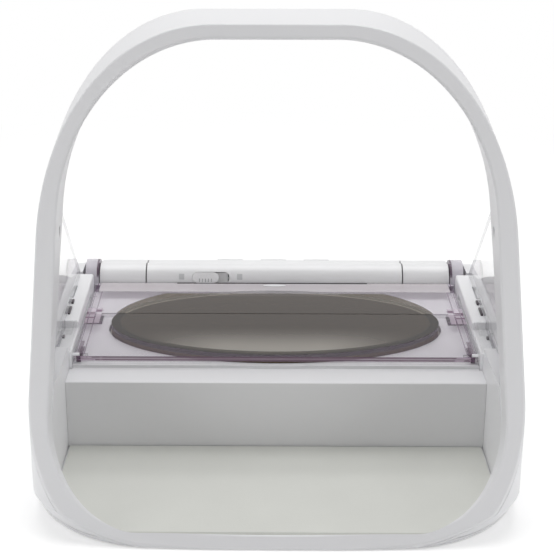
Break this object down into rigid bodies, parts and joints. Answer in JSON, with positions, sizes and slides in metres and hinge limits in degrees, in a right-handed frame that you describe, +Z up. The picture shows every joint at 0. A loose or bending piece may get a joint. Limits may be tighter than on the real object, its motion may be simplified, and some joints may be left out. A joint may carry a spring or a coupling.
{
  "type": "microchip pet feeder",
  "caption": "Free-standing pet feeder: leaning reader hoop, folding clear lid with a smoky oval window over a bowl, and push buttons on a sloping rear.",
  "frame": {"origin": "middle of the footprint, on the surface that the feet stand on", "axes": "+X to the feeder's right seen from the front, +Y to the rear, +Z up"},
  "size_m": [0.23, 0.3181, 0.2096],
  "materials": {
    "white_shell": "moulded white plastic, semi-gloss",
    "grey_button": "soft satin",
    "copper_wire": "enamelled wire",
    "grey_bowl": "satin grey plastic",
    "soft_mat": "matt silicone",
    "dark_rubber": "matt rubber",
    "seal_rubber": "matt silicone",
    "zinc_steel": "zinc plated",
    "steel_pin": "ground steel",
    "black_plastic": "matt",
    "clear_lid": "clear polycarbonate",
    "clear_wing": "clear polycarbonate",
    "smoky_window": "smoke-tinted acrylic",
    "acetal": "natural acetal",
    "board": "solder resist",
    "cell_wrap": "plain wrapped cell"
  },
  "bodies": {
    "feeder": {"housing": "white_shell", "hoop_back_cover": "white_shell", "bottom_cover": "white_shell", "bowl_deck": "white_shell", "bar_cover": "white_shell", "arm_cover_left": "white_shell", "arm_cover_right": "white_shell", "bar_end_left": "white_shell", "bar_end_right": "white_shell", "antenna_coil": "copper_wire", "food_bowl": "grey_bowl", "rubber_feet": "dark_rubber", "case_screws": "zinc_steel", "slide_switch": "black_plastic", "side_wing_left": "clear_wing", "side_wing_right": "clear_wing", "gear_motor": "zinc_steel", "motor_bracket": "zinc_steel", "circuit_board": "board", "button_switches": "black_plastic", "battery_contacts": "zinc_steel", "axle_bushing_left": "acetal", "axle_bushing_right": "acetal", "cell_left_front": "cell_wrap", "cell_left_rear": "cell_wrap", "cell_right_front": "cell_wrap", "cell_right_rear": "cell_wrap"},
    "lid_rear": {"lid_rear_panel": "clear_lid", "lid_rear_seal": "seal_rubber", "lid_rear_window": "smoky_window", "fold_pins": "steel_pin", "lid_axle": "steel_pin", "lid_gear": "acetal"},
    "lid_front": {"lid_front_panel": "clear_lid", "lid_front_seal": "seal_rubber", "lid_front_window": "smoky_window", "guide_pins": "steel_pin"},
    "pinion": {"drive_pinion": "acetal", "motor_shaft": "steel_pin"},
    "slider": {"delay_slider": "white_shell"},
    "button_left": {"button_left": "grey_button"},
    "button_middle": {"button_middle": "grey_button"},
    "button_right": {"button_right": "grey_button"},
    "battery_door_left": {"battery_cover_left": "white_shell"},
    "battery_door_right": {"battery_cover_right": "white_shell"},
    "mat": {"feeding_mat": "soft_mat"}
  },
  "joints": [
    {"name": "lid_open", "type": "hinge", "parent": "feeder", "child": "lid_rear", "pos_m": [0, 0.052, 0.05], "axis": [-1, 0, 0], "range_deg": [0, 78]},
    {"name": "lid_fold", "type": "hinge", "parent": "lid_rear", "child": "lid_front", "pos_m": [0, -0.0027, 0.0445], "axis": [-1, 0, 0], "range_deg": [-156, 0]},
    {"name": "pinion_turn", "type": "hinge", "parent": "feeder", "child": "pinion", "pos_m": [0.033, 0.0588, 0.03543], "axis": [-1, 0, 0], "range_deg": [-131, 0]},
    {"name": "delay_slide", "type": "slide", "parent": "feeder", "child": "slider", "axis": [1, 0, 0], "range_m": [0, 0.006]},
    {"name": "press_left", "type": "slide", "parent": "feeder", "child": "button_left", "axis": [0, -0.3299, -0.944], "range_m": [0, 0.0015], "stiffness_N_per_m": 600},
    {"name": "press_middle", "type": "slide", "parent": "feeder", "child": "button_middle", "axis": [0, -0.3299, -0.944], "range_m": [0, 0.0015], "stiffness_N_per_m": 600},
    {"name": "press_right", "type": "slide", "parent": "feeder", "child": "button_right", "axis": [0, -0.3299, -0.944], "range_m": [0, 0.0015], "stiffness_N_per_m": 600},
    {"name": "battery_door_left", "type": "slide", "parent": "feeder", "child": "battery_door_left", "axis": [0, 0, -1], "range_m": [0, 0.02]},
    {"name": "battery_door_right", "type": "slide", "parent": "feeder", "child": "battery_door_right", "axis": [0, 0, -1], "range_m": [0, 0.02]},
    {"name": "mat_lift", "type": "slide", "parent": "feeder", "child": "mat", "axis": [0, 0, 1], "range_m": [0, 0.03]}
  ],
  "couplings": [
    {"joint": "lid_fold", "follows": "lid_open", "ratio": -2},
    {"joint": "pinion_turn", "follows": "lid_open", "ratio": -1.6667}
  ]
}
